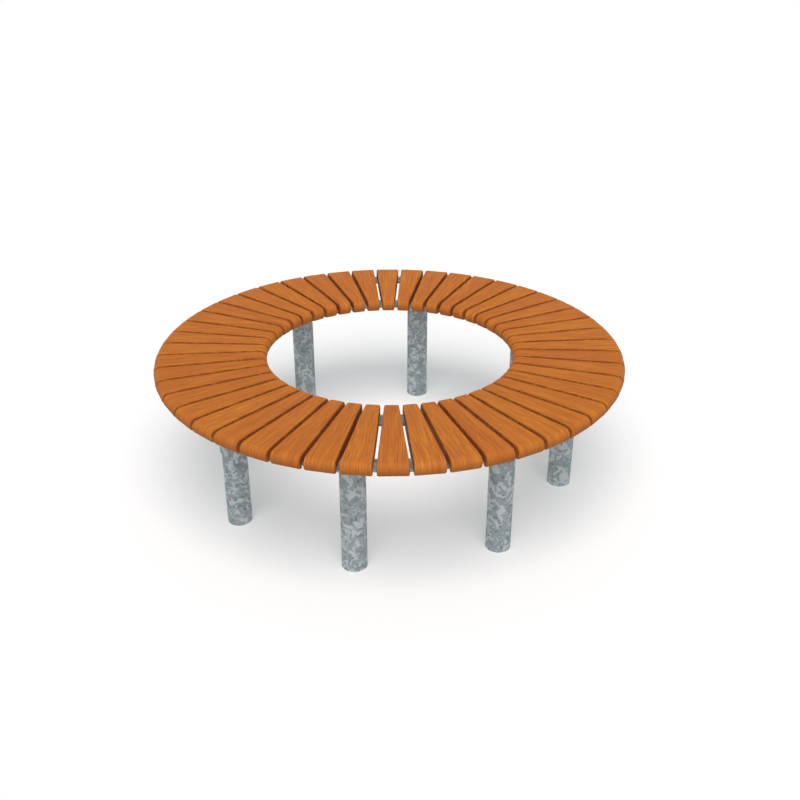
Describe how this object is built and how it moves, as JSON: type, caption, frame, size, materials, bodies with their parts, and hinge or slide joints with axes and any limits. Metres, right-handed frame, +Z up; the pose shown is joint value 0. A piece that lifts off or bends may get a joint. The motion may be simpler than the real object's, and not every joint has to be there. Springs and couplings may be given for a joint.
{
  "type": "tree bench",
  "caption": "Round backless bench with radial hardwood slats on galvanised ring rails and tube posts, open in the middle for a tree trunk.",
  "frame": {"origin": "on the ring's axis at ground level, in the plane of the posts' feet", "axes": "+Z up along the ring's axis; -Y through the middle of post_1, posts every 45 degrees counter-clockwise seen from above"},
  "size_m": [1.5022, 1.5022, 0.45],
  "materials": {
    "oiled_hardwood": "oiled reddish-brown hardwood, planed, grain along each slat",
    "galvanised_posts": "hot-dip galvanised, large matt spangle",
    "galvanised_rails": "hot-dip galvanised, matt",
    "stainless_screws": "plain stainless steel",
    "zinc_bolts": "zinc-coated"
  },
  "bodies": {
    "root": {"slat_01": "oiled_hardwood", "slat_02": "oiled_hardwood", "slat_03": "oiled_hardwood", "slat_04": "oiled_hardwood", "slat_05": "oiled_hardwood", "slat_06": "oiled_hardwood", "slat_07": "oiled_hardwood", "slat_08": "oiled_hardwood", "slat_09": "oiled_hardwood", "slat_10": "oiled_hardwood", "slat_11": "oiled_hardwood", "slat_12": "oiled_hardwood", "slat_13": "oiled_hardwood", "slat_14": "oiled_hardwood", "slat_15": "oiled_hardwood", "slat_16": "oiled_hardwood", "slat_17": "oiled_hardwood", "slat_18": "oiled_hardwood", "slat_19": "oiled_hardwood", "slat_20": "oiled_hardwood", "slat_21": "oiled_hardwood", "slat_22": "oiled_hardwood", "slat_23": "oiled_hardwood", "slat_24": "oiled_hardwood", "slat_25": "oiled_hardwood", "slat_26": "oiled_hardwood", "slat_27": "oiled_hardwood", "slat_28": "oiled_hardwood", "slat_29": "oiled_hardwood", "slat_30": "oiled_hardwood", "slat_31": "oiled_hardwood", "slat_32": "oiled_hardwood", "slat_33": "oiled_hardwood", "slat_34": "oiled_hardwood", "slat_35": "oiled_hardwood", "slat_36": "oiled_hardwood", "slat_37": "oiled_hardwood", "slat_38": "oiled_hardwood", "slat_39": "oiled_hardwood", "slat_40": "oiled_hardwood", "slat_41": "oiled_hardwood", "slat_42": "oiled_hardwood", "slat_43": "oiled_hardwood", "slat_44": "oiled_hardwood", "slat_45": "oiled_hardwood", "slat_46": "oiled_hardwood", "slat_47": "oiled_hardwood", "slat_48": "oiled_hardwood", "post_1": "galvanised_posts", "post_2": "galvanised_posts", "post_3": "galvanised_posts", "post_4": "galvanised_posts", "post_5": "galvanised_posts", "post_6": "galvanised_posts", "post_7": "galvanised_posts", "post_8": "galvanised_posts", "inner_rail_arcs": "galvanised_rails", "outer_rail_arcs": "galvanised_rails", "slat_screws": "stainless_screws", "rail_bolts": "zinc_bolts"}
  },
  "joints": []
}
